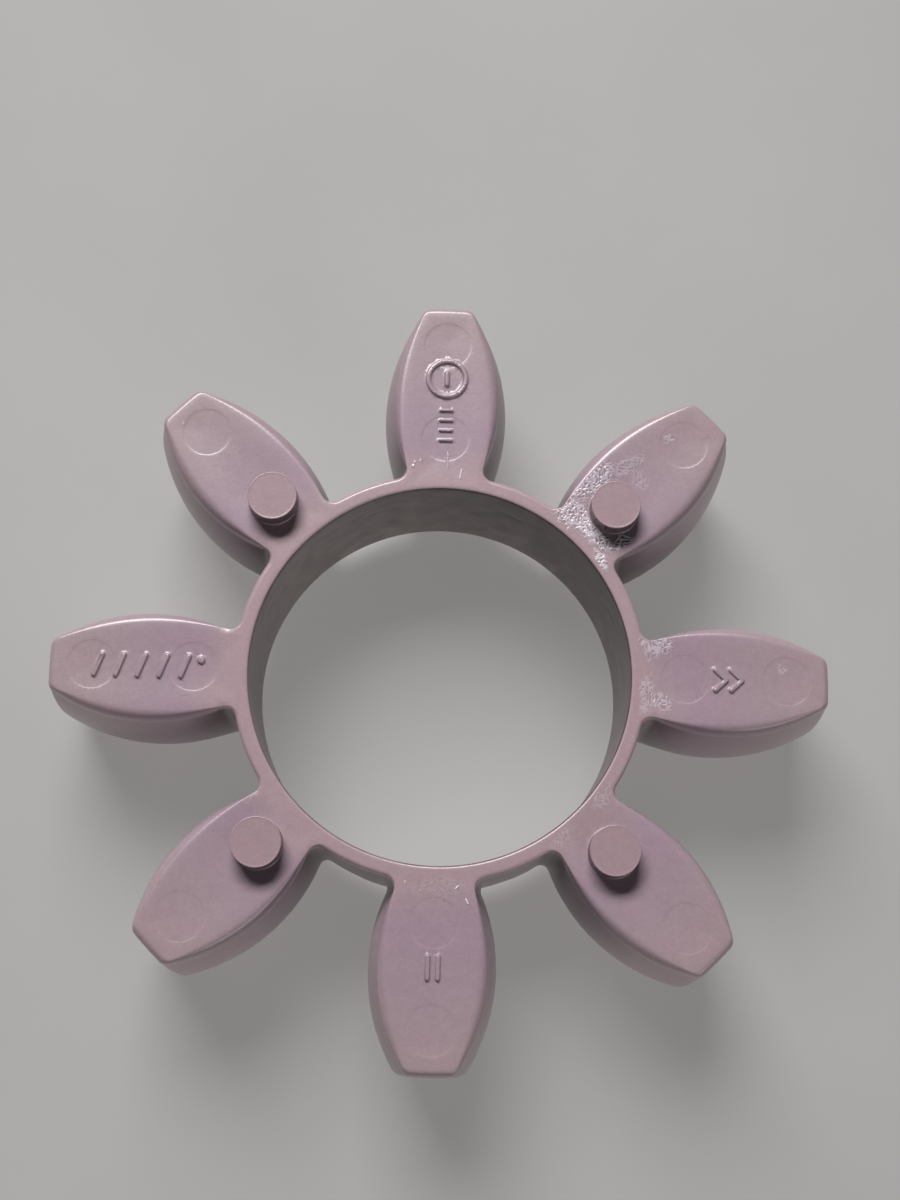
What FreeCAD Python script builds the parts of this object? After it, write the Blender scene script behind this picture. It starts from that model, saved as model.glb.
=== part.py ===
import FreeCAD, Part
import math
import os

# Flexible spider (insert) of a curved-jaw coupling: one moulding of hard thermoplastic polyurethane.
# A thin ring carries eight barrel-shaped legs. The jaws of the two hubs take turns in the eight gaps.
# Millimetres. Origin at the bore's centre at half width, +Z along the shaft axis, towards the marked
# face, and a leg on each of +X, +Y, -X and -Y.

LEGS = 8
PITCH = 360.0 / LEGS

WIDTH = 20.0                # ring and legs, from face to face
BORE_R = 23.0               # clearance over the shaft ends
BORE_ROUND = 0.4            # rounded mouths of the bore
HALF = WIDTH / 2
EDGE_Z = 8.0                # height at which the rounded edge of a leg ends in a crisp line
CROWN_R = 28.3              # axial radius of the crowned flanks

# The outline is made of tangent arcs. Each flank is the arc through three stations along the leg, and
# the outline changes with height between three levels: half width, edge line and face.
STATIONS = (26.5, 35.0, 46.0)
MIDDLE = {"flank": (6.15, 7.75, 4.8), "tip": 47.3, "corner": 1.6, "root": 1.2, "ring": 25.0}
EDGE = {"flank": (4.95, 6.62, 3.5), "tip": 47.1, "corner": 1.3, "root": 1.5, "ring": 25.0}
FACE = {"flank": (4.8, 5.2, 3.0), "tip": 46.1, "corner": 1.0, "root": 1.7, "ring": 24.4}
ROUND_POWER = 2.4           # a rounded edge's section: 2 is an ellipse, more is squarer
CROWN_STEPS = 4             # outlines from half width up to the edge line
ROUND_STEPS = 4             # outlines from the edge line up to the face

# Spacer nubs hold the hubs off the spider: four on each face, on alternate legs.
NUB_R = 3.0
NUB_HEIGHT = 2.4
NUB_CIRCLE_R = 29.6
NUB_ROUND = 0.1
NUB_SUNK = 0.5              # how far a nub's solid reaches into the leg below it
FRONT_NUB_START = PITCH     # first leg with a nub on the marked face, in degrees
BACK_NUB_START = 0.0

# Shallow round dents of the ejector pins, on the marked face.
PIN_R = 2.95
PIN_DEPTH = 0.06
PIN_TIP_CIRCLE_R = 41.8

# Plain raised moulding marks on the four legs without nubs.
MARK_HEIGHT = 0.3
MARK_SUNK = 0.2             # how far a mark's solid reaches into the leg below it
STROKE = 0.55
MARK_TALL = 3.0
BAR_COUNT = 5               # leg on -X: a row of slanted bars and a dot
BAR_STEP = 2.6
BAR_SLANT = 0.9
BAR_ROW_X = -35.8
DOT_R = 0.45
DOT_X = -28.7
DOT_Y = 0.8
CHEVRON_X = 33.2            # leg on +X: two chevrons
CHEVRON_STEP = 1.9
CHEVRON_DEEP = 1.3
TALLY_Y = -34.7             # leg on -Y: two tally strokes
TALLY_STEP = 1.2
DIAL_Y = 37.4               # leg on +Y: a dial with a pointer and a column of short bars
DIAL_R = 2.6
POINTER = 1.5
COLUMN_COUNT = 4
COLUMN_Y = 33.2
COLUMN_STEP = 1.3
COLUMN_LONG = 1.4
COLUMN_STROKE = 0.28


def blend(low, high, share):
    """The outline's dimensions part of the way from one level to another."""
    mixed = {key: low[key] + (high[key] - low[key]) * share for key in low if key != "flank"}
    mixed["flank"] = [a + (b - a) * share for a, b in zip(low["flank"], high["flank"])]
    return mixed


def circle_through(points):
    """Centre and radius of the circle through three points."""
    (ax, ay), (bx, by), (cx, cy) = points
    d = 2 * (ax * (by - cy) + bx * (cy - ay) + cx * (ay - by))
    a2, b2, c2 = ax * ax + ay * ay, bx * bx + by * by, cx * cx + cy * cy
    x = (a2 * (by - cy) + b2 * (cy - ay) + c2 * (ay - by)) / d
    y = (a2 * (cx - bx) + b2 * (ax - cx) + c2 * (bx - ax)) / d
    return FreeCAD.Vector(x, y, 0), math.hypot(ax - x, ay - y)


def meet(radius, centre, other_radius):
    """The point at +Y where a circle about the origin meets a circle about centre."""
    span = centre.Length
    along = (span * span + radius * radius - other_radius * other_radius) / (2 * span)
    across = math.sqrt(radius * radius - along * along)
    unit = centre * (1 / span)
    side = FreeCAD.Vector(-unit.y, unit.x, 0)
    return unit * along + side * across


def towards(start, target, length):
    """The point at a distance from start in the direction of target."""
    return start + (target - start) * (length / (target - start).Length)


def leg_side(level):
    """Half of a leg's outline, from the tip to the ring: three arcs, each as (start, middle, end)."""
    origin = FreeCAD.Vector(0, 0, 0)
    flank_c, flank_r = circle_through(list(zip(STATIONS, level["flank"])))
    corner_c = meet(level["tip"] - level["corner"], flank_c, flank_r - level["corner"])
    root_c = meet(level["ring"] + level["root"], flank_c, flank_r + level["root"])
    tip_end = towards(origin, corner_c, level["tip"])
    flank_start = towards(flank_c, corner_c, flank_r)
    flank_end = towards(flank_c, root_c, flank_r)
    ring_start = towards(origin, root_c, level["ring"])
    corner = (tip_end, towards(corner_c, (tip_end + flank_start) * 0.5, level["corner"]), flank_start)
    flank = (flank_start, towards(flank_c, (flank_start + flank_end) * 0.5, flank_r), flank_end)
    root = (flank_end, towards(root_c, (flank_end + ring_start) * 0.5, level["root"]), ring_start)
    return [corner, flank, root]


def placed(point, turn, z):
    """A point of the outline turned about the axis by an angle in degrees and raised to z."""
    c, s = math.cos(math.radians(turn)), math.sin(math.radians(turn))
    return FreeCAD.Vector(c * point.x - s * point.y, s * point.x + c * point.y, z)


def outline(level, z):
    """The closed outline of ring and legs at height z."""
    side = leg_side(level)
    mirrored = [
        tuple(FreeCAD.Vector(p.x, -p.y, 0) for p in reversed(arc)) for arc in reversed(side)
    ]
    tip_end = side[0][0]
    tip = (FreeCAD.Vector(tip_end.x, -tip_end.y, 0), FreeCAD.Vector(level["tip"], 0, 0), tip_end)
    ring_start = side[-1][2]
    next_leg = placed(FreeCAD.Vector(ring_start.x, -ring_start.y, 0), PITCH, 0)
    ring_mid = placed(FreeCAD.Vector(level["ring"], 0, 0), PITCH / 2, 0)
    arcs = [tip] + side + [(ring_start, ring_mid, next_leg)]
    edges = []
    for leg in range(LEGS):
        for arc in arcs:
            edges.append(Part.Arc(*[placed(p, leg * PITCH, z) for p in arc]).toShape())
        for arc in mirrored:
            edges.append(Part.Arc(*[placed(p, (leg + 1) * PITCH, z) for p in arc]).toShape())
    return Part.Wire(edges)


def crown_levels():
    """Outlines of the crowned middle, from one edge line to the other."""
    sag = CROWN_R - math.sqrt(CROWN_R * CROWN_R - EDGE_Z * EDGE_Z)
    wires = []
    for step in range(-CROWN_STEPS, CROWN_STEPS + 1):
        z = EDGE_Z * step / CROWN_STEPS
        share = (CROWN_R - math.sqrt(CROWN_R * CROWN_R - z * z)) / sag
        wires.append(outline(blend(MIDDLE, EDGE, share), z))
    return wires


def round_levels(side):
    """Outlines of the rounded edge, from the edge line to the face at +Z (side 1) or -Z (side -1)."""
    wires = []
    for step in range(ROUND_STEPS + 1):
        angle = math.pi / 2 * step / ROUND_STEPS
        inward = 1 - max(math.cos(angle), 0) ** (2 / ROUND_POWER)
        upward = math.sin(angle) ** (2 / ROUND_POWER)
        wires.append(outline(blend(EDGE, FACE, inward), side * (EDGE_Z + (HALF - EDGE_Z) * upward)))
    return wires


def make_blank():
    """Ring and legs with the bore cut through, its mouths rounded."""
    solid = Part.makeLoft(crown_levels(), True)
    for side in (1, -1):
        solid = solid.fuse(Part.makeLoft(round_levels(side), True))
    solid = solid.cut(Part.makeCylinder(BORE_R, 2 * WIDTH, FreeCAD.Vector(0, 0, -WIDTH)))
    mouths = [e for e in solid.Edges if is_mouth(e)]
    return solid.makeFillet(BORE_ROUND, mouths)


def is_mouth(edge):
    """Whether an edge is one of the bore's two mouths."""
    round_edge = edge.Curve.TypeId == "Part::GeomCircle" and abs(edge.Curve.Radius - BORE_R) < 0.001
    return round_edge and abs(abs(edge.CenterOfMass.z) - HALF) < 0.001


def nub(turn, side):
    """A round spacer nub with a softened top edge, sunk a little into its leg."""
    peg = Part.makeCylinder(NUB_R, NUB_HEIGHT + NUB_SUNK, FreeCAD.Vector(0, 0, HALF - NUB_SUNK))
    rim = [e for e in peg.Edges if e.CenterOfMass.z > HALF + NUB_HEIGHT - 0.01 and len(e.Vertexes) == 1]
    peg = peg.makeFillet(NUB_ROUND, rim)
    if side < 0:
        peg = peg.mirror(FreeCAD.Vector(0, 0, 0), FreeCAD.Vector(0, 0, 1))
    peg.translate(placed(FreeCAD.Vector(NUB_CIRCLE_R, 0, 0), turn, 0))
    return peg


def all_nubs():
    """The eight nubs: four on each face, on alternate legs."""
    nubs = []
    for step in range(LEGS // 2):
        nubs.append(nub(FRONT_NUB_START + 2 * step * PITCH, 1))
        nubs.append(nub(BACK_NUB_START + 2 * step * PITCH, -1))
    return nubs


def pin_dent(turn, radius):
    """The shallow round dent that one ejector pin leaves in the marked face."""
    centre = placed(FreeCAD.Vector(radius, 0, 0), turn, HALF - PIN_DEPTH)
    return Part.makeCylinder(PIN_R, 2 * PIN_DEPTH, centre)


def pin_dents():
    """A dent near every tip, and one near the root of each leg that has no front nub."""
    dents = [pin_dent(leg * PITCH, PIN_TIP_CIRCLE_R) for leg in range(LEGS)]
    for step in range(LEGS // 2):
        dents.append(pin_dent(2 * step * PITCH, NUB_CIRCLE_R))
    return dents


def stroke(start, end, width):
    """A raised straight stroke with round ends, from one point of the marked face to another."""
    a = FreeCAD.Vector(*start, HALF - MARK_SUNK)
    b = FreeCAD.Vector(*end, HALF - MARK_SUNK)
    side = FreeCAD.Vector(a.y - b.y, b.x - a.x, 0)
    side = side * (width / 2 / side.Length)
    along = (b - a) * (width / 2 / (b - a).Length)
    rim = [
        Part.LineSegment(a - side, b - side).toShape(),
        Part.Arc(b - side, b + along, b + side).toShape(),
        Part.LineSegment(b + side, a + side).toShape(),
        Part.Arc(a + side, a - along, a - side).toShape(),
    ]
    return Part.Face(Part.Wire(rim)).extrude(FreeCAD.Vector(0, 0, MARK_HEIGHT + MARK_SUNK))


def slanted_bars():
    """The row of slanted bars and the dot on the -X leg."""
    marks = []
    for index in range(BAR_COUNT):
        x = BAR_ROW_X + BAR_STEP * (index - (BAR_COUNT - 1) / 2)
        half = (MARK_TALL - STROKE) / 2
        marks.append(stroke((x - BAR_SLANT / 2, -half), (x + BAR_SLANT / 2, half), STROKE))
    base = FreeCAD.Vector(DOT_X, DOT_Y, HALF - MARK_SUNK)
    return marks + [Part.makeCylinder(DOT_R, MARK_HEIGHT + MARK_SUNK, base)]


def chevrons():
    """The two chevrons on the +X leg, each of two strokes that meet in a point."""
    marks = []
    half = (MARK_TALL - STROKE) / 2
    for index in range(2):
        x = CHEVRON_X + CHEVRON_STEP * index
        point = (x + CHEVRON_DEEP, 0)
        marks.append(stroke((x, half), point, STROKE).fuse(stroke((x, -half), point, STROKE)))
    return marks


def tally():
    """The two tally strokes on the -Y leg."""
    half = (MARK_TALL - STROKE) / 2
    marks = []
    for side in (-1, 1):
        x = side * TALLY_STEP / 2
        marks.append(stroke((x, TALLY_Y - half), (x, TALLY_Y + half), STROKE))
    return marks


def dial():
    """The round dial, its pointer and the column of short bars on the +Y leg."""
    base = FreeCAD.Vector(0, DIAL_Y, HALF - MARK_SUNK)
    rim = Part.makeCylinder(DIAL_R, MARK_HEIGHT + MARK_SUNK, base)
    rim = rim.cut(Part.makeCylinder(DIAL_R - STROKE, MARK_HEIGHT + MARK_SUNK, base))
    marks = [rim, stroke((0, DIAL_Y - POINTER / 2), (0, DIAL_Y + POINTER / 2), STROKE)]
    for index in range(COLUMN_COUNT):
        y = COLUMN_Y - COLUMN_STEP * index
        marks.append(stroke((-COLUMN_LONG / 2, y), (COLUMN_LONG / 2, y), COLUMN_STROKE))
    return marks


def make_spider():
    """The whole moulding as one solid."""
    solid = make_blank().cut(pin_dents())
    solid = solid.fuse(all_nubs() + slanted_bars() + chevrons() + tally() + dial())
    return solid.removeSplitter().Solids[0]


def main():
    os.makedirs("parts", exist_ok=True)
    spider = make_spider()
    print("spider", spider.ShapeType, "solids", len(spider.Solids), "valid", spider.isValid())
    print("volume mm3", round(spider.Volume, 1), "box", spider.BoundBox)
    spider.exportStep("parts/spider.step")


main()
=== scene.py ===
import math
import bpy
import bmesh
import numpy as np
from mathutils import Euler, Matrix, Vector, noise
from mathutils.geometry import delaunay_2d_cdt
from mathutils.kdtree import KDTree


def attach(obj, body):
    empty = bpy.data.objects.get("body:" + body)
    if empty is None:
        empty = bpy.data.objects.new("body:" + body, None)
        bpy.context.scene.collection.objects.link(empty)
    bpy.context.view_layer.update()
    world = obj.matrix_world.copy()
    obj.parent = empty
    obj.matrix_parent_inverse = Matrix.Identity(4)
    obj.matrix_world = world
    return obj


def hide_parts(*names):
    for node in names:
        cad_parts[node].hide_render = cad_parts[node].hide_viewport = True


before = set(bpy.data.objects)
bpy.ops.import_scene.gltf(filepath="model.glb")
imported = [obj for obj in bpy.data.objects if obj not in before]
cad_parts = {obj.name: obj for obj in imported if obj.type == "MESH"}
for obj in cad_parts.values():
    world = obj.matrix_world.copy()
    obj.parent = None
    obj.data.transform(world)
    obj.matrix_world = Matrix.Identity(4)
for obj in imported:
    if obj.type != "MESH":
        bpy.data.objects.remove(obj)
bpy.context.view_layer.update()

# Spider of a curved-jaw coupling. Its mesh is built here in millimetres, in the frame of the CAD part, and
# scaled to metres at the end. Origin at the bore's centre at half width, +Z towards the marked face.
MM = 0.001

LEGS = 8
PITCH = 2 * math.pi / LEGS
HALF = 10.0
BORE_R = 23.0
BORE_ROUND = 0.4
EDGE_Z = 8.0                # height of the crisp line under a leg's rounded edge
RING_EDGE_Z = 9.3           # the same line on the ring, where the rounded edge is much smaller
CROWN_R = 28.3
ROUND_POWER = 2.4           # a rounded edge's section: 2 is an ellipse, more is squarer

# Outlines at half width, at the crisp line and at the face, as in the CAD part: half widths of a leg at the
# three stations along it, radii of the tip and the ring, and radii of the rounds at corner and root.
STATIONS = (26.5, 35.0, 46.0)
MIDDLE = {"flank": (6.15, 7.75, 4.8), "tip": 47.3, "corner": 1.6, "root": 1.2, "ring": 25.0}
EDGE = {"flank": (4.95, 6.62, 3.5), "tip": 47.1, "corner": 1.3, "root": 1.5, "ring": 25.0}
FACE = {"flank": (4.8, 5.2, 3.0), "tip": 46.1, "corner": 1.0, "root": 1.7, "ring": 24.4}

# Points along each arc of half a leg's outline, and loops from level to level.
TIP_POINTS = 6
CORNER_POINTS = 7
FLANK_POINTS = 30
ROOT_POINTS = 10
RING_POINTS = 7
CROWN_LOOPS = 16
ROUND_LOOPS = 12
MOUTH_LOOPS = 5
WALL_LOOPS = 44
BORE_POINTS = 360

# Nubs on every other leg of each face.
NUB_R = 3.0
NUB_HEIGHT = 2.4
NUB_CIRCLE_R = 29.6
NUB_ROUND = 0.1
NUB_LIP = 0.02              # thin raised lip round a nub's top
NUB_LIP_PROFILE = ((0.24, 0.0), (0.2, 0.2), (0.15, 0.8))   # distance in from the side, share of the lip
NUB_FOOT = 0.15             # radius of the hollow round at its foot
NUB_TAPER = 0.02            # how much wider a nub is above its foot than at its top
NUB_SHADE_FROM = 0.22        # where the painted shade on a nub's side starts, above the tops of the marks
NUB_POINTS = 72

# Faint round dents that the ejector pins left.
PIN_R = 2.95
PIN_DEPTH = 0.02
PIN_TIP_CIRCLE_R = 41.8
PIN_SOFT = 0.07             # half the width of a dent's sloping edge
PIN_POINTS = 64

# Raised marks: slanted bars with a dot, two chevrons, two tally strokes, and a dial with a column of bars.
MARK_HEIGHT = 0.3
MARK_SOFT = 0.1             # half the width of a mark's sloping edge
STROKE = 0.55               # width of a mark's line
MARK_TALL = 3.0
BAR_COUNT = 5
BAR_STEP = 2.6
BAR_SLANT = 0.9
BAR_ROW_X = -35.8
DOT_R = 0.45
DOT = (-28.7, 0.8)
CHEVRON_X = 33.2
CHEVRON_STEP = 1.9
CHEVRON_DEEP = 1.3
TALLY_Y = -34.7
TALLY_STEP = 1.2
DIAL_Y = 37.4
DIAL_R = 2.6
POINTER = 1.5               # length of the dial's pointer
COLUMN_COUNT = 4
COLUMN_Y = 33.2
COLUMN_STEP = 1.3
COLUMN_LONG = 1.4
COLUMN_STROKE = 0.28

DISH = 0.13                 # how far the middle of a leg's face has sunk as the moulding cooled
DISH_REACH = 4.2
WAVE = 0.012                # slow unevenness of the faces
WAVE_LENGTH = 4.0
WAVE_REACH = 1.5            # how far in from the border it grows to its full height

# Spacing of the points that fill the faces, and how far they keep from the outline and from the guide loops.
FACE_GRID = 0.48
BACK_GRID = 0.9
FINE_GRID = 0.07
GRID_REACH = 48.0
CLEAR_OF_OUTLINE = 0.9      # in grid steps
CLEAR_OF_LOOPS = 0.05

# Crinkled skin where the melt flowed past the roots, on the marked face: middle, half length, half width,
# turn in degrees and strength of each patch.
CRINKLES = (
    ((18.4, 24.6), 3.4, 1.5, 42, 0.8),
    ((16.4, 20.2), 2.6, 1.2, 120, 0.9),
    ((14.9, 19.9), 1.7, 1.0, 130, 0.9),
    ((18.6, 17.7), 2.7, 1.0, -38, 1.2),
    ((21.6, 16.9), 1.6, 0.9, 20, 1.2),
    ((19.3, 14.6), 1.5, 0.7, -62, 1.0),
    ((22.6, 26.6), 2.6, 0.9, 38, 0.35),
    ((24.4, 24.6), 1.6, 1.0, -60, 0.25),
    ((27.9, 30.4), 0.8, 0.7, 0, 0.45),
    ((24.7, 4.6), 2.6, 0.7, 105, 0.5),
    ((26.3, 3.9), 1.9, 1.1, 5, 0.65),
    ((24.9, -2.0), 2.6, 0.9, 82, 0.45),
    ((26.6, -2.8), 1.6, 1.0, -20, 0.5),
    ((24.1, -6.3), 1.8, 0.5, 76, 0.3),
    ((19.8, -14.3), 2.3, 0.9, 54, 0.3),
    ((15.0, -19.4), 1.6, 0.8, 40, 0.25),
    ((0.6, -25.4), 3.6, 1.0, 0, 0.18),
    ((41.1, 1.5), 0.5, 0.5, 0, 0.4),
)
CRINKLE_HEIGHT = 0.07
CRINKLE_CELL = 0.42
CRINKLE_LEVEL = 0.26        # the worms lie where the noise is nearer to zero than about this
CRINKLE_WARP = 0.3
CRINKLE_WARP_CELL = 1.1
PATCH_WARP = 0.55           # how far a patch's border wanders
PATCH_WARP_CELL = 0.8
PATCH_REACH = 1.25          # where a patch fades to nothing, in half lengths and half widths
PATCH_FADE = 0.6            # over how much of them it fades
PATCH_MARGIN = 1.3          # how far out close points are needed, in half lengths or half widths
SKIN_REACH = 0.35           # how far in from the border the skin grows to its full height
NOISE_SEED = 5

# Heights at which each pattern is cut from the same noise.
WAVE_SLICE = 0.5
CRINKLE_WARP_SLICE = 3.0
CRINKLE_SLICE = 7.0
PATCH_WARP_SLICE = 11.0

# Small beads and drips of the skin: two ends, half width and height of each.
DRIPS = (
    ((-3.95, 25.85), (-3.9, 26.0), 0.16, 0.12),
    ((-3.8, 26.35), (-3.7, 26.4), 0.1, 0.1),
    ((-3.15, 26.6), (-3.0, 26.7), 0.08, 0.08),
    ((0.3, 27.5), (0.34, 27.4), 0.09, 0.1),
    ((0.28, 27.1), (0.33, 25.6), 0.05, 0.05),
    ((2.05, 25.5), (1.85, 24.4), 0.1, 0.09),
    ((3.7, -26.8), (3.95, -27.3), 0.1, 0.12),
    ((2.45, -25.6), (2.8, -25.3), 0.09, 0.1),
    ((-3.5, -24.9), (-3.45, -25.1), 0.07, 0.08),
    ((-1.7, -25.8), (-1.65, -26.0), 0.06, 0.06),
)

# Shallow sinks in the bore's wall: a broad one behind each leg, a small lens at the middle of each gap.
WALL_SINK = 0.11
WALL_SINK_WIDE = 0.16       # half width, as an angle
LENS_DEEP = 0.09
LENS_LONG = 1.9
LENS_TALL = 0.55
LENS_Z = 4.2

FLASH = 0.06                # most that the seam of flash stands out along the crisp line
FLASH_CELL = 5.0

FLOOR_Z = -(HALF + NUB_HEIGHT)
FLOOR_HALF = 1.5            # metres

# Camera, its place in millimetres and its turns in degrees.
CAMERA_AT = (-1.568, -38.729, 215.189)
CAMERA_TURN = (13.075, -1.026, 1.321)
CAMERA_LENS = 52.08
CAMERA_SENSOR = 36

# Powers of the lights, in watts.
KEY_POWER = 16.6
FRONT_POWER = 2.3
LOW_LEFT_POWER = 2.1
LOW_RIGHT_POWER = 1.4
FLOOR_KEY_POWER = 8
FLOOR_GLOW_POWER = 14
GLOW = 0.03                 # brightness of the world
WARM = (1, 0.97, 0.94)      # colour of the low lights

ROUGHNESS = 0.275
ROUGHNESS_SPREAD = 0.06
SKIN_GLOSS = 0.08           # how much smoother the crinkled skin is

# Colours. The polyurethane's tint changes from the ring outwards, over these radii.
TINT_FROM = 22
TINT_SPAN = 25
TINT_WANDER = 9.0           # how far the borders between the tints wander
RING_TINT = (0.325, 0.232, 0.252)
ROOT_TINT = (0.285, 0.205, 0.247)
TIP_TINT = (0.3, 0.222, 0.242)
NUB_TINT = (0.3, 0.208, 0.23)
# Painted shade, near black, on the nubs' sides.
NUB_SIDE_PAINTED_SHADE = (0.12, 0.088, 0.096)
# Painted shade, near black, low on the sides near the roots and on the ring's outside.
ROOT_PAINTED_SHADE = (0.085, 0.066, 0.068)
ROOT_SHADE_SHARE = 0.75
ROOT_SHADE_FULL_R = 25.5         # painted shade low in the roots is strongest inside this radius
ROOT_SHADE_NONE_R = 32           # and fades to nothing at this one
# Painted highlight, a pale colour, on the crinkled skin's worms.
SKIN_PAINTED_HIGHLIGHT = (0.7, 0.64, 0.7)
# Painted shade over the crinkled patches, which shows in the hollows between the worms.
HOLLOW_PAINTED_SHADE = (0.17, 0.125, 0.145)
# The bore's wall: painted shade, dark and uneven in tone at random.
WALL_PAINTED_SHADE_DARK = (0.09, 0.066, 0.068)
WALL_PAINTED_SHADE_PALE = (0.19, 0.148, 0.15)
WALL_PAINTED_LIGHT_SLOPE = -0.009        # painted light: the bore's wall is paler towards -X, by this much a millimetre
FLOOR_DARK = (0.35, 0.345, 0.335)
FLOOR_PALE = (0.38, 0.375, 0.365)


# ---- outline ----

def circle_through(points):
    """Centre and radius of the circle through three points."""
    (ax, ay), (bx, by), (cx, cy) = points
    d = 2 * (ax * (by - cy) + bx * (cy - ay) + cx * (ay - by))
    a2, b2, c2 = ax * ax + ay * ay, bx * bx + by * by, cx * cx + cy * cy
    x = (a2 * (by - cy) + b2 * (cy - ay) + c2 * (ay - by)) / d
    y = (a2 * (cx - bx) + b2 * (ax - cx) + c2 * (bx - ax)) / d
    return Vector((x, y)), math.hypot(ax - x, ay - y)


def meet(radius, centre, other_radius):
    """The point at +Y where a circle about the origin meets a circle about centre."""
    span = centre.length
    along = (span * span + radius * radius - other_radius * other_radius) / (2 * span)
    across = math.sqrt(radius * radius - along * along)
    unit = centre / span
    return unit * along + Vector((-unit.y, unit.x)) * across


def arc(centre, radius, start, end, count):
    """Points of an arc the short way round, with its start and without its end."""
    a = math.atan2(start.y - centre.y, start.x - centre.x)
    b = math.atan2(end.y - centre.y, end.x - centre.x)
    turn = (b - a + math.pi) % (2 * math.pi) - math.pi
    angles = [a + turn * i / count for i in range(count)]
    return [centre + Vector((math.cos(t), math.sin(t))) * radius for t in angles]


def half_leg(level):
    """Half of a leg's outline, from the middle of its tip to the middle of the next gap."""
    origin = Vector((0, 0))
    tip, corner, root, ring = level["tip"], level["corner"], level["root"], level["ring"]
    flank_c, flank_r = circle_through(list(zip(STATIONS, level["flank"])))
    corner_c = meet(tip - corner, flank_c, flank_r - corner)
    root_c = meet(ring + root, flank_c, flank_r + root)
    tip_end = corner_c.normalized() * tip
    flank_start = flank_c + (corner_c - flank_c).normalized() * flank_r
    flank_end = flank_c + (root_c - flank_c).normalized() * flank_r
    ring_start = root_c.normalized() * ring
    ring_end = Vector((math.cos(PITCH / 2), math.sin(PITCH / 2))) * ring
    points = arc(origin, tip, Vector((tip, 0)), tip_end, TIP_POINTS)
    points += arc(corner_c, corner, tip_end, flank_start, CORNER_POINTS)
    points += arc(flank_c, flank_r, flank_start, flank_end, FLANK_POINTS)
    points += arc(root_c, root, flank_end, ring_start, ROOT_POINTS)
    points += arc(origin, ring, ring_start, ring_end, RING_POINTS)
    return np.array(points + [ring_end])


def around(half):
    """The values along half a leg, mirrored and repeated for all eight legs."""
    mirrored = half[:0:-1] * np.array([1, -1]) if half.ndim == 2 else half[:0:-1]
    leg = np.concatenate([mirrored, half[:-1]])
    if half.ndim == 1:
        return np.tile(leg, LEGS)
    turned = []
    for k in range(LEGS):
        c, s = math.cos(k * PITCH), math.sin(k * PITCH)
        turned.append(leg @ np.array([[c, s], [-s, c]]))
    return np.concatenate(turned)


def smooth(t):
    """A smooth step from 0 to 1."""
    t = np.clip(t, 0, 1)
    return t * t * (3 - 2 * t)


def crisp_heights():
    """Height of the crisp line at each point of the outline: it climbs in the roots to the ring's edge."""
    leg = np.zeros(TIP_POINTS + CORNER_POINTS + FLANK_POINTS)
    root = smooth(np.arange(ROOT_POINTS) / ROOT_POINTS)
    ring = np.ones(RING_POINTS + 1)
    return around(EDGE_Z + (RING_EDGE_Z - EDGE_Z) * np.concatenate([leg, root, ring]))


def rounded(t):
    """How far inward and upward a rounded edge has gone, from the crisp line (0) to the face (1)."""
    angle = math.pi / 2 * t
    return 1 - max(math.cos(angle), 0) ** (2 / ROUND_POWER), math.sin(angle) ** (2 / ROUND_POWER)


def side_loops():
    """The loops of ring and legs from the back face to the front face, and which are crisp lines."""
    middle, edge, face = (around(half_leg(level)) for level in (MIDDLE, EDGE, FACE))
    crisp = crisp_heights()
    sag = CROWN_R - math.sqrt(CROWN_R ** 2 - EDGE_Z ** 2)
    loops = []
    rounding = [rounded(1 - i / ROUND_LOOPS) for i in range(ROUND_LOOPS)]
    for inward, upward in rounding:
        loops.append(np.column_stack([edge + (face - edge) * inward, -crisp - (HALF - crisp) * upward]))
    for i in range(CROWN_LOOPS + 1):
        t = 2 * i / CROWN_LOOPS - 1
        share = (CROWN_R - math.sqrt(CROWN_R ** 2 - (t * EDGE_Z) ** 2)) / sag
        loops.append(np.column_stack([middle + (edge - middle) * share, t * crisp]))
    for inward, upward in rounding[::-1]:
        loops.append(np.column_stack([edge + (face - edge) * inward, crisp + (HALF - crisp) * upward]))
    lines = (ROUND_LOOPS, ROUND_LOOPS + CROWN_LOOPS)
    for index in lines:
        loops[index][:, :2] = with_flash(loops[index])
    return loops, lines


def with_flash(line):
    """A crisp line's points, pushed out where a little flash stands on them."""
    outward = edge_normals(line[:, :2])
    amount = np.array([smooth(2.5 * noise.noise(Vector(p) / FLASH_CELL)) for p in line])
    return line[:, :2] + FLASH * amount[:, None] * outward


def edge_normals(loop):
    """Outward directions at the points of an anticlockwise loop."""
    along = np.roll(loop, -1, axis=0) - np.roll(loop, 1, axis=0)
    along /= np.linalg.norm(along, axis=1)[:, None]
    return np.column_stack([along[:, 1], -along[:, 0]])


def circle(centre, radius, count):
    """Points of a circle, anticlockwise."""
    t = np.arange(count) * 2 * math.pi / count
    return np.column_stack([centre[0] + radius * np.cos(t), centre[1] + radius * np.sin(t)])


def bore_loops():
    """The loops of the bore from the front face down to the back face, with rounded mouths."""
    profile = []
    for i in range(MOUTH_LOOPS + 1):
        a = math.pi / 2 * i / MOUTH_LOOPS
        profile.append((BORE_R + BORE_ROUND * (1 - math.sin(a)), HALF - BORE_ROUND * (1 - math.cos(a))))
    straight = HALF - BORE_ROUND
    for i in range(1, WALL_LOOPS):
        profile.append((BORE_R, straight * (1 - 2 * i / WALL_LOOPS)))
    profile += [(r, -z) for r, z in profile[MOUTH_LOOPS::-1]]
    turn = np.arange(BORE_POINTS) * 2 * math.pi / BORE_POINTS
    loops = []
    for r, z in profile:
        radius = r + wall_sinks(turn, z)
        loops.append(np.column_stack([radius * np.cos(turn), radius * np.sin(turn), np.full(BORE_POINTS, z)]))
    return loops


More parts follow.
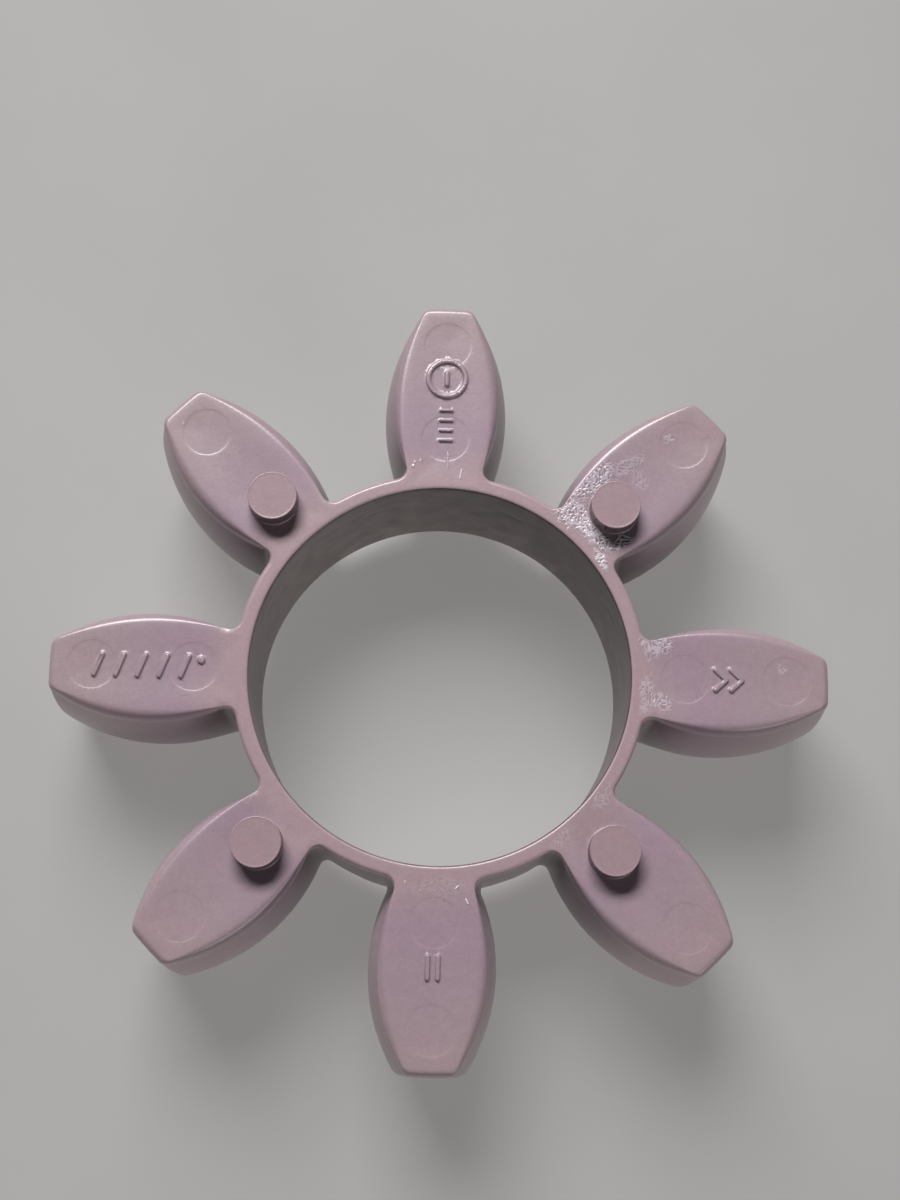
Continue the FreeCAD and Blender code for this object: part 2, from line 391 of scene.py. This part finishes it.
def wall_sinks(turn, z):
    """How far the bore's wall has sunk outwards at each angle, at one height."""
    off_leg = (turn + PITCH / 2) % PITCH - PITCH / 2
    off_gap = turn % PITCH - PITCH / 2
    fade = 1 - smooth(abs(z) / (HALF - BORE_ROUND)) ** 2
    broad = WALL_SINK * np.exp(-(off_leg / WALL_SINK_WIDE) ** 2) * fade
    lens = 1 - (off_gap * BORE_R / LENS_LONG) ** 2 - ((z - LENS_Z) / LENS_TALL) ** 2
    return broad + LENS_DEEP * smooth(lens)


# ---- features of the faces ----

def on_leg(leg, radius):
    """A point on a leg's middle line."""
    return np.array([radius * math.cos(leg * PITCH), radius * math.sin(leg * PITCH)])


def nub_profile():
    """Radii and heights of a nub, from its middle out to its foot."""
    profile = [(0.0, NUB_HEIGHT - NUB_LIP)]
    for inward, share in NUB_LIP_PROFILE:
        profile.append((NUB_R - inward, NUB_HEIGHT - (1 - share) * NUB_LIP))
    for i in range(6):
        a = math.pi / 2 * i / 5
        drop = NUB_ROUND * (1 - math.cos(a))
        profile.append((NUB_R - NUB_ROUND * (1 - math.sin(a)), NUB_HEIGHT - drop))
    for i in range(5):
        a = math.pi / 2 * i / 4
        profile.append((NUB_R + NUB_TAPER + NUB_FOOT * (1 - math.cos(a)), NUB_FOOT * (1 - math.sin(a))))
    return profile


def strokes():
    """Middle lines of the raised marks, each as (start, end, half width)."""
    lines = []
    half = (MARK_TALL - STROKE) / 2
    for i in range(BAR_COUNT):
        x = BAR_ROW_X + BAR_STEP * (i - (BAR_COUNT - 1) / 2)
        lines.append(((x - BAR_SLANT / 2, -half), (x + BAR_SLANT / 2, half), STROKE / 2))
    for i in range(2):
        x = CHEVRON_X + CHEVRON_STEP * i
        lines.append(((x, half), (x + CHEVRON_DEEP, 0), STROKE / 2))
        lines.append(((x, -half), (x + CHEVRON_DEEP, 0), STROKE / 2))
    for side in (-1, 1):
        x = side * TALLY_STEP / 2
        lines.append(((x, TALLY_Y - half), (x, TALLY_Y + half), STROKE / 2))
    lines.append(((0, DIAL_Y - POINTER / 2), (0, DIAL_Y + POINTER / 2), STROKE / 2))
    for i in range(COLUMN_COUNT):
        y = COLUMN_Y - COLUMN_STEP * i
        lines.append(((-COLUMN_LONG / 2, y), (COLUMN_LONG / 2, y), COLUMN_STROKE / 2))
    return lines


def capsule(start, end, radius):
    """A closed loop at a distance from a straight line, with round ends."""
    start, end = np.array(start), np.array(end)
    along = (end - start) / np.linalg.norm(end - start)
    side = np.array([-along[1], along[0]])
    t = np.linspace(0, math.pi, 9)
    cap = np.column_stack([np.sin(t), np.cos(t)])
    far = end + radius * (cap[:, :1] * along + cap[:, 1:] * side)
    near = start - radius * (cap[:, :1] * along + cap[:, 1:] * side)
    return np.concatenate([far, near])


def edge_steps(half_width):
    """Distances from a mark's middle line at which its surface needs a loop."""
    steps = [half_width + MARK_SOFT * s for s in (1.0, 0.5, 0.0, -0.5, -1.0)]
    return [s for s in steps if s > 0.03]


def line_distance(xy, start, end):
    """Distance of each point from a straight line with two ends."""
    start, end = np.array(start), np.array(end)
    along = end - start
    t = np.clip((xy - start) @ along / (along @ along), 0, 1)
    return np.linalg.norm(xy - start - t[:, None] * along, axis=1)


def rise(distance, half_width, soft):
    """1 within half_width of a line and 0 outside it, with a sloping edge."""
    return smooth((half_width + soft - distance) / (2 * soft))


def mark_heights(xy):
    """How far the raised marks stand above the face at each point."""
    share = np.zeros(len(xy))
    for start, end, half_width in strokes():
        share = np.maximum(share, rise(line_distance(xy, start, end), half_width, MARK_SOFT))
    ring = np.abs(np.linalg.norm(xy - (0, DIAL_Y), axis=1) - (DIAL_R - STROKE / 2))
    share = np.maximum(share, rise(ring, STROKE / 2, MARK_SOFT))
    dot = np.linalg.norm(xy - np.array(DOT), axis=1)
    return MARK_HEIGHT * np.maximum(share, rise(dot, DOT_R, MARK_SOFT))


def mark_loops():
    """Guide loops along the edges of the raised marks."""
    loops = []
    for start, end, half_width in strokes():
        loops += [capsule(start, end, step) for step in edge_steps(half_width)]
    for step in edge_steps(STROKE / 2):
        for radius in (DIAL_R - STROKE / 2 + step, DIAL_R - STROKE / 2 - step):
            loops.append(circle((0, DIAL_Y), radius, 64))
    loops += [circle(DOT, step, 24) for step in edge_steps(DOT_R)]
    return loops


def wandered(xy):
    """Points moved about a little, so that a patch's border comes out uneven."""
    cell = PATCH_WARP_CELL
    moves = [noise.noise_vector((x / cell, y / cell, PATCH_WARP_SLICE)) for x, y in xy]
    return xy + PATCH_WARP * np.array([(move.x, move.y) for move in moves]).reshape(-1, 2)


def patch_share(xy, patch):
    """How much each of the wandered points belongs to a patch of crinkled skin, from 0 to 1."""
    middle, half_long, half_wide, turn, _ = patch
    c, s = math.cos(math.radians(turn)), math.sin(math.radians(turn))
    local = (xy - np.array(middle)) @ np.array([[c, -s], [s, c]]) / (half_long, half_wide)
    return smooth((PATCH_REACH - np.linalg.norm(local, axis=1)) / PATCH_FADE)


def crinkle(x, y):
    """A network of thin raised worms, from 0 to 1."""
    cell = CRINKLE_WARP_CELL
    warp = noise.noise_vector((x / cell, y / cell, CRINKLE_WARP_SLICE)) * CRINKLE_WARP
    level = noise.noise(((x + warp.x) / CRINKLE_CELL, (y + warp.y) / CRINKLE_CELL, CRINKLE_SLICE))
    return math.exp(-(level / CRINKLE_LEVEL) ** 2)


def crinkled(xy):
    """Height of the crinkled skin at each point, and how strongly crinkled it is there."""
    strength = np.zeros(len(xy))
    moved = wandered(xy)
    for patch in CRINKLES:
        strong = patch[-1]
        strength = np.maximum(strength, strong * patch_share(moved, patch))
    height = np.zeros(len(xy))
    for i in np.flatnonzero(strength > 0.01):
        height[i] = CRINKLE_HEIGHT * strength[i] * crinkle(*xy[i])
    return height, strength


def drip_heights(xy):
    """Height of the small beads and drips at each point."""
    height = np.zeros(len(xy))
    for start, end, half_width, tall in DRIPS:
        away = line_distance(xy, start, end) / half_width
        height = np.maximum(height, tall * np.sqrt(np.clip(1 - away ** 2, 0, 1)))
    return height


def fine_points(outer):
    """Close points for the crinkled patches and the drips."""
    points = []
    for patch in CRINKLES:
        middle, half_long = np.array(patch[0]), patch[1]
        reach = PATCH_MARGIN * half_long
        near = grid(middle - reach, middle + reach, FINE_GRID)
        points.append(near[patch_share(wandered(near), patch) > 0])
    for start, end, half_width, _ in DRIPS:
        low = np.minimum(start, end) - PATCH_MARGIN * half_width
        high = np.maximum(start, end) + PATCH_MARGIN * half_width
        points.append(grid(low, high, half_width / 3))
    points = np.unique(np.round(np.concatenate(points), 3), axis=0)
    clear = np.linalg.norm(points, axis=1) > BORE_R + BORE_ROUND + CLEAR_OF_LOOPS
    return points[clear & inside(points, outer)]


def dents():
    """Centres of the ejector-pin dents."""
    tips = [on_leg(k, PIN_TIP_CIRCLE_R) for k in range(LEGS)]
    return tips + [on_leg(k, NUB_CIRCLE_R) for k in range(0, LEGS, 2)]


# ---- surfaces ----

def inside(xy, polygon):
    """Which points lie inside a closed polygon."""
    found = np.zeros(len(xy), bool)
    ax, ay = polygon[:, 0], polygon[:, 1]
    bx, by = np.roll(ax, -1), np.roll(ay, -1)
    for first in range(0, len(xy), 4000):
        x, y = xy[first:first + 4000, :1], xy[first:first + 4000, 1:]
        spans = (ay > y) != (by > y)
        with np.errstate(divide="ignore", invalid="ignore"):
            crossing = (bx - ax) * (y - ay) / (by - ay) + ax
        found[first:first + 4000] = (spans & (x < crossing)).sum(1) % 2 == 1
    return found


def grid(low, high, step):
    """Points of a staggered grid over a rectangle."""
    rows = np.arange(low[1], high[1], step * math.sqrt(3) / 2)
    points = []
    for i, y in enumerate(rows):
        x = np.arange(low[0] + (i % 2) * step / 2, high[0], step)
        points.append(np.column_stack([x, np.full(len(x), y)]))
    return np.concatenate(points)


def distances(xy, points):
    """Distance of each point from the nearest of some others."""
    near = KDTree(len(points))
    for i, p in enumerate(points):
        near.insert((p[0], p[1], 0), i)
    near.balance()
    return np.array([near.find((x, y, 0))[2] for x, y in xy])


def sheet(outer, mouth, loops, filler):
    """Triangles over the area between the outline and the bore's mouth, along all the loops."""
    corners, edges = [], []
    for loop in [outer, mouth] + loops:
        first = len(corners)
        corners += [Vector(p) for p in loop]
        edges += [(first + i, first + (i + 1) % len(loop)) for i in range(len(loop))]
    spare = filler[distances(filler, corners) > CLEAR_OF_LOOPS]
    corners += [Vector(p) for p in spare]
    made = delaunay_2d_cdt(corners, edges, [], 0, 1e-5, False)
    xy = np.array([tuple(v) for v in made[0]])
    triangles = np.array(made[2])
    middles = xy[triangles].mean(axis=1)
    return xy, triangles[inside(middles, outer) & ~inside(middles, mouth)]


def waves(xy):
    """Slow unevenness of a moulded face, from -1 to 1."""
    return np.array([noise.noise((x / WAVE_LENGTH, y / WAVE_LENGTH, WAVE_SLICE)) for x, y in xy])


def face_heights(xy, border, nub_legs, front):
    """Height of a face above its flat plane at each point, with the height and strength of its crinkles."""
    edge = distances(xy, border)
    skin, strength = np.zeros(len(xy)), np.zeros(len(xy))
    height = -DISH * smooth(edge / DISH_REACH) + WAVE * waves(xy) * smooth(edge / WAVE_REACH)
    if front:
        for centre in dents():
            height -= PIN_DEPTH * rise(np.linalg.norm(xy - centre, axis=1), PIN_R, PIN_SOFT)
        skin, strength = crinkled(xy)
        skin = (skin + drip_heights(xy)) * smooth(edge / SKIN_REACH)
        height += mark_heights(xy) + skin
    radii, heights = zip(*nub_profile())
    for leg in nub_legs:
        radius = np.linalg.norm(xy - on_leg(leg, NUB_CIRCLE_R), axis=1)
        on_nub = radius < radii[-1]
        level = np.interp(radius, radii, heights)
        height = np.where(on_nub, level + height * (radius > NUB_R), height)
        skin = np.where(on_nub, 0, skin)
        strength = np.where(on_nub, 0, strength)
    return height, skin, strength


def face(outer, mouth, nub_legs, front):
    """One face of the spider: points with heights above the plane, triangles, and the crinkles' share."""
    loops = []
    for leg in nub_legs:
        for radius, _ in nub_profile()[1:]:
            loops.append(circle(on_leg(leg, NUB_CIRCLE_R), radius, NUB_POINTS))
    if front:
        for centre in dents():
            for share in (1, 0.4, -0.4, -1):
                loops.append(circle(centre, PIN_R + share * PIN_SOFT, PIN_POINTS))
        loops += mark_loops()
    step = FACE_GRID if front else BACK_GRID
    filler = grid((-GRID_REACH, -GRID_REACH), (GRID_REACH, GRID_REACH), step)
    filler = filler[inside(filler, outer) & (np.linalg.norm(filler, axis=1) > BORE_R + BORE_ROUND)]
    filler = filler[distances(filler, outer) > CLEAR_OF_OUTLINE * step]
    if front:
        close = fine_points(outer)
        filler = filler[distances(filler, close) > FINE_GRID]
        filler = np.concatenate([filler, close])
    xy, triangles = sheet(outer, mouth, loops, filler)
    height, skin, strength = face_heights(xy, np.concatenate([outer, mouth]), nub_legs, front)
    return np.column_stack([xy, height]), triangles, skin / CRINKLE_HEIGHT, strength


# ---- the mesh ----

def add_face(bm, outer, mouth, side):
    """Adds the front face (side 1) or the back face (side -1) to the mesh."""
    legs = range(1, LEGS, 2) if side > 0 else range(0, LEGS, 2)
    points, triangles, skin, strength = face(outer[:, :2], mouth[:, :2], legs, side > 0)
    skin_layer, strength_layer = bm.verts.layers.float["skin"], bm.verts.layers.float["crinkled"]
    points[:, 2] = side * (HALF + points[:, 2])
    corners = [bm.verts.new(p * MM) for p in points]
    for corner, high, strong in zip(corners, skin, strength):
        corner[skin_layer] = high
        corner[strength_layer] = strong
    for triangle in triangles:
        bm.faces.new([corners[i] for i in triangle[::side]])


def add_tube(bm, loops, side):
    """Adds the quads between stacked loops, facing outwards (side 1) or inwards (side -1)."""
    rings = [[bm.verts.new(p * MM) for p in loop] for loop in loops]
    for low, high in zip(rings, rings[1:]):
        for i in range(len(low)):
            j = (i + 1) % len(low)
            bm.faces.new([low[i], low[j], high[j], high[i]][::side])
    return rings


def spider_mesh():
    """The whole spider as one closed mesh, in metres."""
    bm = bmesh.new()
    bm.verts.layers.float.new("skin")
    bm.verts.layers.float.new("crinkled")
    outside, crisp = side_loops()
    rings = add_tube(bm, outside, 1)
    for index in crisp:
        ring = rings[index]
        for i in range(len(ring)):
            bm.edges.get((ring[i], ring[(i + 1) % len(ring)])).smooth = False
    wall = bore_loops()
    add_tube(bm, wall, 1)
    add_face(bm, outside[-1], wall[0], 1)
    add_face(bm, outside[0], wall[-1], -1)
    bmesh.ops.remove_doubles(bm, verts=bm.verts, dist=0.001 * MM)
    open_edges = sum(1 for e in bm.edges if len(e.link_faces) != 2)
    print("spider mesh:", len(bm.faces), "faces,", open_edges, "open edges")
    for f in bm.faces:
        f.smooth = True
    mesh = bpy.data.meshes.new("spider")
    bm.to_mesh(mesh)
    bm.free()
    return mesh


# ---- materials ----

class Nodes:
    """A short way to add and join the nodes of one material."""

    def __init__(self, material):
        material.use_nodes = True
        self.tree = material.node_tree
        self.shader = self.tree.nodes["Principled BSDF"]

    def add(self, kind, settings=None, **inputs):
        """A new node, with its settings and with inputs that are values or other nodes' outputs."""
        node = self.tree.nodes.new(kind)
        for key, value in (settings or {}).items():
            setattr(node, key, value)
        for key, value in inputs.items():
            self.join(node.inputs[key.replace("_", " ")], value)
        return node

    def join(self, socket, value):
        """Sets a socket to a value or joins it to another node's output."""
        if isinstance(value, bpy.types.NodeSocket):
            self.tree.links.new(value, socket)
        else:
            socket.default_value = value

    def maths(self, operation, a, b=0.0):
        """The result of one sum."""
        node = self.tree.nodes.new("ShaderNodeMath")
        node.operation = operation
        self.join(node.inputs[0], a)
        self.join(node.inputs[1], b)
        return node.outputs[0]

    def noise(self, place, scale, detail=2.0):
        """A noise from 0 to 1, with its scale in cells per unit of the place."""
        return self.add("ShaderNodeTexNoise", Vector=place, Scale=scale, Detail=detail).outputs["Fac"]

    def ramp(self, value, stops):
        """A colour from a value, by stops of (place, colour)."""
        node = self.add("ShaderNodeValToRGB", Fac=value)
        band = node.color_ramp
        while len(band.elements) < len(stops):
            band.elements.new(0.5)
        for element, (place, colour) in zip(band.elements, stops):
            element.position = place
            element.color = (*colour, 1)
        return node.outputs["Color"]

    def step(self, value, start, end):
        """A smooth step from 0 at start to 1 at end."""
        node = self.add("ShaderNodeMapRange", {"interpolation_type": "SMOOTHSTEP"}, Value=value)
        node.inputs["From Min"].default_value = start
        node.inputs["From Max"].default_value = end
        return node.outputs["Result"]

    def mix(self, kind, share, a, b):
        """Two colours mixed."""
        node = self.tree.nodes.new("ShaderNodeMix")
        node.data_type = "RGBA"
        node.blend_type = kind
        self.join(node.inputs[0], share)
        self.join(node.inputs[6], a)
        self.join(node.inputs[7], b)
        return node.outputs[2]


def radius_share(nodes, place):
    """Distance from the axis, and how far out that is, unevenly, from 0 at the bore to 1 at the tips."""
    flat = nodes.add("ShaderNodeVectorMath", {"operation": "MULTIPLY"})
    nodes.join(flat.inputs[0], place)
    nodes.join(flat.inputs[1], (1, 1, 0))
    length = nodes.add("ShaderNodeVectorMath", {"operation": "LENGTH"})
    nodes.join(length.inputs[0], flat.outputs[0])
    radius = length.outputs["Value"]
    off_middle = nodes.maths("SUBTRACT", nodes.noise(place, 0.13, 3.0), 0.5)
    uneven = nodes.maths("ADD", radius, nodes.maths("MULTIPLY", off_middle, TINT_WANDER))
    return radius, nodes.maths("DIVIDE", nodes.maths("SUBTRACT", uneven, TINT_FROM), TINT_SPAN)


def with_nubs(nodes, tint, height):
    """The tint, with the nubs' own on their tops and painted shade, a near-black colour, on their sides."""
    side = nodes.maths("GREATER_THAN", height, HALF + NUB_SHADE_FROM)
    top = nodes.maths("GREATER_THAN", height, HALF + NUB_HEIGHT - NUB_ROUND)
    tint = nodes.mix("MIX", side, tint, (*NUB_SIDE_PAINTED_SHADE, 1))
    return nodes.mix("MIX", top, tint, (*NUB_TINT, 1))


def with_bore(nodes, tint, place, along_x, radius):
    """The tint, with painted shade on the bore's wall, uneven in tone at random and paler towards -X by
    painted light.
    """
    painted_light = nodes.maths("MULTIPLY", along_x, WALL_PAINTED_LIGHT_SLOPE)
    wall_shade = nodes.maths("ADD", nodes.noise(place, 0.35, 4.0), painted_light)
    wall_shades = nodes.ramp(wall_shade, ((0.3, WALL_PAINTED_SHADE_DARK), (0.75, WALL_PAINTED_SHADE_PALE)))
    return nodes.mix("MIX", nodes.maths("LESS_THAN", radius, BORE_R + 0.15), tint, wall_shades)


def with_root_shade(nodes, tint, radius, height):
    """The tint, with painted shade, a near-black colour, on the ring's outside and low on the sides near the
    roots.
    """
    near = nodes.step(radius, ROOT_SHADE_NONE_R, ROOT_SHADE_FULL_R)
    under = nodes.step(height, RING_EDGE_Z, EDGE_Z)
    outer = nodes.maths("GREATER_THAN", radius, BORE_R + 0.5)
    root_shade = nodes.maths("MULTIPLY", nodes.maths("MULTIPLY", near, under), outer)
    return nodes.mix("MIX", nodes.maths("MULTIPLY", root_shade, ROOT_SHADE_SHARE), tint, (*ROOT_PAINTED_SHADE, 1))


def with_skin(nodes, tint, skin):
    """The tint, with painted shade over the crinkled patches and a painted highlight, a pale colour, on their
    worms.
    """
    strong = nodes.add("ShaderNodeAttribute", {"attribute_name": "crinkled"}).outputs["Fac"]
    tint = nodes.mix("MIX", nodes.maths("MULTIPLY", strong, 0.45), tint, (*HOLLOW_PAINTED_SHADE, 1))
    return nodes.mix("MIX", nodes.maths("MULTIPLY", skin, 0.6), tint, (*SKIN_PAINTED_HIGHLIGHT, 1))


def clouded(nodes, tint, place, scale, detail, low, high):
    """The tint, darkened or lightened unevenly from a low to a high share."""
    share = nodes.ramp(nodes.noise(place, scale, detail), ((0.3, (low, low, low)), (0.7, (high, high, high))))
    return nodes.mix("MULTIPLY", 1.0, tint, share)


def base_colour(nodes, place, skin):
    """Mauve, pinker on the ring and purpler at the roots, with painted shade in the bore, on the nubs' sides
    and low in the roots, and painted highlights on the crinkled skin.
    """
    radius, share = radius_share(nodes, place)
    axes = nodes.add("ShaderNodeSeparateXYZ", Vector=place).outputs
    height = nodes.maths("ABSOLUTE", axes["Z"])
    tint = nodes.ramp(share, ((0.0, RING_TINT), (0.12, RING_TINT), (0.32, ROOT_TINT), (0.85, TIP_TINT)))
    tint = with_nubs(nodes, tint, height)
    tint = with_bore(nodes, tint, place, axes["X"], radius)
    tint = with_root_shade(nodes, tint, radius, height)
    tint = with_skin(nodes, tint, skin)
    tint = clouded(nodes, tint, place, 0.9, 5.0, 0.93, 1.0)
    return clouded(nodes, tint, place, 3.0, 2.0, 0.94, 1.03)


def polyurethane():
    """Hard mauve polyurethane, satin moulded."""
    material = bpy.data.materials.new("polyurethane_mauve")
    nodes = Nodes(material)
    coordinates = nodes.add("ShaderNodeTexCoord").outputs["Object"]
    place = nodes.add("ShaderNodeMapping", Vector=coordinates, Scale=(1 / MM, 1 / MM, 1 / MM)).outputs[0]
    skin = nodes.add("ShaderNodeAttribute", {"attribute_name": "skin"}).outputs["Fac"]
    nodes.join(nodes.shader.inputs["Base Color"], base_colour(nodes, place, skin))
    spread = nodes.maths("MULTIPLY", nodes.noise(place, 0.5, 4.0), ROUGHNESS_SPREAD)
    spread = nodes.maths("SUBTRACT", spread, nodes.maths("MULTIPLY", skin, SKIN_GLOSS))
    nodes.join(nodes.shader.inputs["Roughness"], nodes.maths("ADD", spread, ROUGHNESS))
    grain = nodes.add("ShaderNodeBump", Height=nodes.noise(place, 2.5, 2.0), Strength=0.5, Distance=0.00002)
    nodes.join(nodes.shader.inputs["Normal"], grain.outputs[0])
    return material


def floor_material():
    """Pale matt floor, slightly uneven in tone."""
    material = bpy.data.materials.new("floor")
    nodes = Nodes(material)
    place = nodes.add("ShaderNodeTexCoord").outputs["Object"]
    tone = nodes.ramp(nodes.noise(place, 14.0, 4.0), ((0.3, FLOOR_DARK), (0.7, FLOOR_PALE)))
    nodes.join(nodes.shader.inputs["Base Color"], tone)
    nodes.join(nodes.shader.inputs["Roughness"], 0.8)
    return material


# ---- scene ----

def add_piece(name, mesh, material):
    """A new object with one material."""
    piece = bpy.data.objects.new(name, mesh)
    bpy.context.scene.collection.objects.link(piece)
    mesh.materials.append(material)
    return piece


def add_floor():
    """A wide pale floor under the part's back nubs."""
    mesh = bpy.data.meshes.new("floor")
    signs = ((-1, -1), (1, -1), (1, 1), (-1, 1))
    corners = [(x * FLOOR_HALF, y * FLOOR_HALF, FLOOR_Z * MM) for x, y in signs]
    mesh.from_pydata(corners, [], [(0, 1, 2, 3)])
    floor = add_piece("floor", mesh, floor_material())
    return floor


def add_light(name, turn, rise_angle, distance, size, power, colour=(1, 1, 1)):
    """A soft light turned to the part, from an angle round the bore's axis and an angle above the face."""
    data = bpy.data.lights.new(name, "AREA")
    data.shape = "RECTANGLE"
    data.size, data.size_y = size
    data.energy = power
    data.color = colour
    light = bpy.data.objects.new(name, data)
    turn, rise_angle = math.radians(turn), math.radians(rise_angle)
    flat = math.cos(rise_angle)
    direction = Vector((flat * math.cos(turn), flat * math.sin(turn), math.sin(rise_angle)))
    light.location = direction * distance
    light.rotation_euler = direction.to_track_quat("Z", "Y").to_euler()
    bpy.context.scene.collection.objects.link(light)
    return light


def group(name, piece):
    """A collection that limits a light to one piece."""
    found = bpy.data.collections.new(name)
    found.objects.link(piece)
    return found


def add_lights(spider, floor):
    """A soft key from +Y, fill from the front and from below at -Y, and two lights for the floor alone."""
    spider_only, floor_only = group("spider_only", spider), group("floor_only", floor)
    key = add_light("key", turn=106, rise_angle=46, distance=1.0, size=(0.6, 0.3), power=KEY_POWER)
    key.light_linking.receiver_collection = spider_only
    front = add_light("front", turn=305, rise_angle=18, distance=0.9, size=(0.6, 0.35), power=FRONT_POWER)
    front.light_linking.receiver_collection = spider_only
    for name, turn, power in (("low_left", 225, LOW_LEFT_POWER), ("low_right", 315, LOW_RIGHT_POWER)):
        low = add_light(name, turn, rise_angle=-15, distance=0.9, size=(0.45, 0.35), power=power, colour=WARM)
        low.visible_glossy = False
        low.light_linking.receiver_collection = spider_only
        low.light_linking.blocker_collection = spider_only
    soft = add_light("floor_key", turn=106, rise_angle=48, distance=1.0, size=(0.6, 0.6),
                     power=FLOOR_KEY_POWER)
    soft.light_linking.receiver_collection = floor_only
    even = add_light("floor_glow", turn=90, rise_angle=89, distance=1.5, size=(1, 1), power=FLOOR_GLOW_POWER)
    even.light_linking.receiver_collection = floor_only
    even.light_linking.blocker_collection = floor_only


def add_world():
    """A faint even glow from all round."""
    world = bpy.data.worlds.new("studio")
    world.use_nodes = True
    background = world.node_tree.nodes["Background"]
    background.inputs["Color"].default_value = (1, 1, 1, 1)
    background.inputs["Strength"].default_value = GLOW
    bpy.context.scene.world = world


def add_camera():
    """The camera, above the marked face and a little to its -Y side."""
    data = bpy.data.cameras.new("camera")
    data.sensor_fit = "VERTICAL"
    data.sensor_height = CAMERA_SENSOR
    data.lens = CAMERA_LENS
    data.clip_start = 0.01
    camera = bpy.data.objects.new("camera", data)
    camera.location = Vector(CAMERA_AT) * MM
    camera.rotation_euler = Euler([math.radians(turn) for turn in CAMERA_TURN])
    bpy.context.scene.collection.objects.link(camera)
    bpy.context.scene.camera = camera


def main():
    """The spider on its floor, with lights and camera."""
    noise.seed_set(NOISE_SEED)
    spider = add_piece("spider_moulding", spider_mesh(), polyurethane())
    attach(spider, "root")
    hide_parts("spider")
    add_lights(spider, add_floor())
    add_world()
    add_camera()
    bpy.context.scene.view_settings.view_transform = "Standard"


main()
